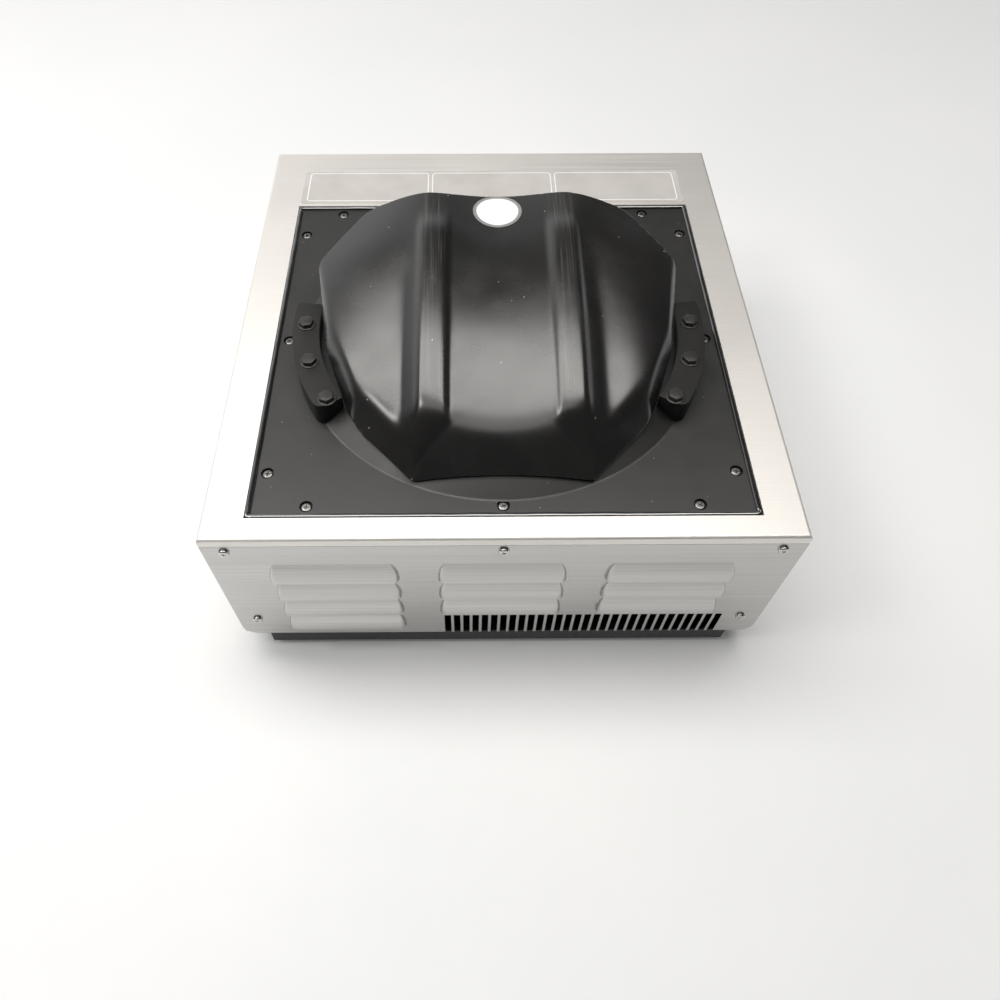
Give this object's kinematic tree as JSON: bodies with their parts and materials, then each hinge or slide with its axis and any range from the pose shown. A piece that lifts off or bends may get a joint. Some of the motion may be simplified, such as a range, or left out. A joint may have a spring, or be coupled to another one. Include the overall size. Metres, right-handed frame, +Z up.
{
  "type": "dry block heater",
  "caption": "Bench-top dry block heater: stainless case with louvred rear, black deck and collar, ribbed hood over a heated tube block, fan, mains inlet and operator's panel.",
  "frame": {"origin": "middle of the part's footprint, on the bench under the feet", "axes": "+Z up, +Y towards the operator's panel, -Y towards the louvred rear"},
  "size_m": [0.4044, 0.444, 0.2331],
  "materials": {
    "stainless": "brushed stainless sheet",
    "bright_steel": "plated steel",
    "black_steel": "black oxide",
    "deck_black": "satin black coating",
    "hood_black": "satin moulded black",
    "seal_black": "glossy bead",
    "foot_rubber": "matte",
    "block_alloy": "bead-blasted",
    "plate_alloy": "mill finish",
    "gasket_rubber": "matte silicone",
    "mat_rubber": "matte silicone",
    "insulation": "felted fibre",
    "fan_plastic": "moulded",
    "board_green": "solder mask",
    "brass": "turned",
    "winding": "taped winding",
    "relay_blue": "moulded",
    "terminal_green": "moulded",
    "black_plastic": "moulded",
    "gloss_black": "polished moulding",
    "button_grey": "moulded",
    "display_dark": "dark panel",
    "window": "tinted"
  },
  "bodies": {
    "case": {"base_pan": "black_steel", "base_screws": "bright_steel", "block_gasket": "gasket_rubber", "block_tray": "plate_alloy", "board_standoffs": "brass", "button_switches": "black_plastic", "clamp_bar_left": "deck_black", "clamp_bar_right": "deck_black", "clamp_bolts": "black_steel", "clamp_nuts": "black_steel", "control_board": "board_green", "deck_plate": "deck_black", "deck_screws": "black_steel", "deck_seal": "seal_black", "display_module": "display_dark", "display_window": "window", "fan_frame": "fan_plastic", "fan_screws": "bright_steel", "feet": "foot_rubber", "front_panel": "stainless", "front_panel_screws": "bright_steel", "heat_sink": "plate_alloy", "heater_mat": "mat_rubber", "heating_block": "block_alloy", "hood": "hood_black", "inlet_pins": "brass", "inlet_screws": "bright_steel", "insulation_cup": "insulation", "knob_nut": "bright_steel", "mains_inlet": "black_plastic", "panel_standoffs": "plate_alloy", "potentiometer": "black_plastic", "power_board": "board_green", "pressure_plate": "plate_alloy", "rear_panel": "stainless", "rear_panel_screws": "bright_steel", "relay": "relay_blue", "rocker_body": "black_plastic", "sensor_probe": "bright_steel", "terminal_block": "terminal_green", "thermal_cutout": "black_plastic", "top_cover": "stainless", "transformer": "winding", "tray_posts": "plate_alloy", "triac": "black_plastic"},
    "fan": {"fan_rotor": "fan_plastic"},
    "rocker": {"power_rocker": "gloss_black"},
    "knob": {"temperature_knob": "black_plastic", "knob_shaft": "bright_steel"},
    "up_button": {"button_up": "button_grey"},
    "set_button": {"button_set": "button_grey"},
    "down_button": {"button_down": "button_grey"}
  },
  "joints": [
    {"name": "fan_spin", "type": "hinge", "parent": "case", "child": "fan", "pos_m": [0, -0.0357, 0.02], "axis": [0, 0, 1], "continuous": true},
    {"name": "rocker_tilt", "type": "hinge", "parent": "case", "child": "rocker", "pos_m": [0.14, 0.2065, 0.095], "axis": [-1, 0, 0], "range_deg": [0, 20]},
    {"name": "knob_turn", "type": "hinge", "parent": "case", "child": "knob", "pos_m": [-0.13, 0.208, 0.1], "axis": [0, -1, 0], "range_deg": [0, 300]},
    {"name": "press_up", "type": "slide", "parent": "case", "child": "up_button", "axis": [0, -1, 0], "range_m": [0, 0.0015], "stiffness_N_per_m": 400, "springref_m": -0.001},
    {"name": "press_set", "type": "slide", "parent": "case", "child": "set_button", "axis": [0, -1, 0], "range_m": [0, 0.0015], "stiffness_N_per_m": 400, "springref_m": -0.001},
    {"name": "press_down", "type": "slide", "parent": "case", "child": "down_button", "axis": [0, -1, 0], "range_m": [0, 0.0015], "stiffness_N_per_m": 400, "springref_m": -0.001}
  ]
}
